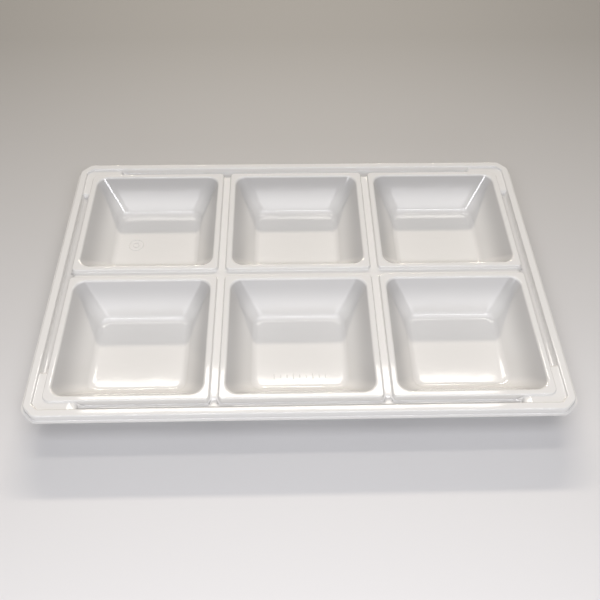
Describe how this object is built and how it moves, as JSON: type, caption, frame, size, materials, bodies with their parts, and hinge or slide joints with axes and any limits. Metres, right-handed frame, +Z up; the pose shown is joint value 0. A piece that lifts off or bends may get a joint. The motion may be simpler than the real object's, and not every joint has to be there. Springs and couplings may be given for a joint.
{
  "type": "formed plastic well tray",
  "caption": "Shallow glossy white tray formed from plastic sheet, with rows of tapered rectangular wells inside flat sealing frames, a groove round them, a raised rim and a trim flange.",
  "frame": {"origin": "on the resting plane under the wells, below the middle of the tray", "axes": "+X along the long side, +Y from the front to the back along the short side, +Z up out of the wells"},
  "size_m": [0.2698, 0.1774, 0.0204],
  "materials": {
    "sheet": "gloss"
  },
  "bodies": {
    "root": {"well_front_left": "sheet", "frame_front_left": "sheet", "well_front_middle": "sheet", "frame_front_middle": "sheet", "well_front_right": "sheet", "frame_front_right": "sheet", "well_back_left": "sheet", "frame_back_left": "sheet", "well_back_middle": "sheet", "frame_back_middle": "sheet", "well_back_right": "sheet", "frame_back_right": "sheet", "channel_left": "sheet", "channel_right": "sheet", "cross_channel_left": "sheet", "cross_channel_middle": "sheet", "cross_channel_right": "sheet", "groove_front": "sheet", "groove_back": "sheet", "groove_left": "sheet", "groove_right": "sheet", "corner_pad_front_left": "sheet", "corner_pad_front_right": "sheet", "corner_pad_back_left": "sheet", "corner_pad_back_right": "sheet", "rim_front": "sheet", "rim_back": "sheet", "rim_left": "sheet", "rim_right": "sheet", "trim_flange_front": "sheet", "trim_flange_back": "sheet", "trim_flange_left": "sheet", "trim_flange_right": "sheet"}
  },
  "joints": []
}
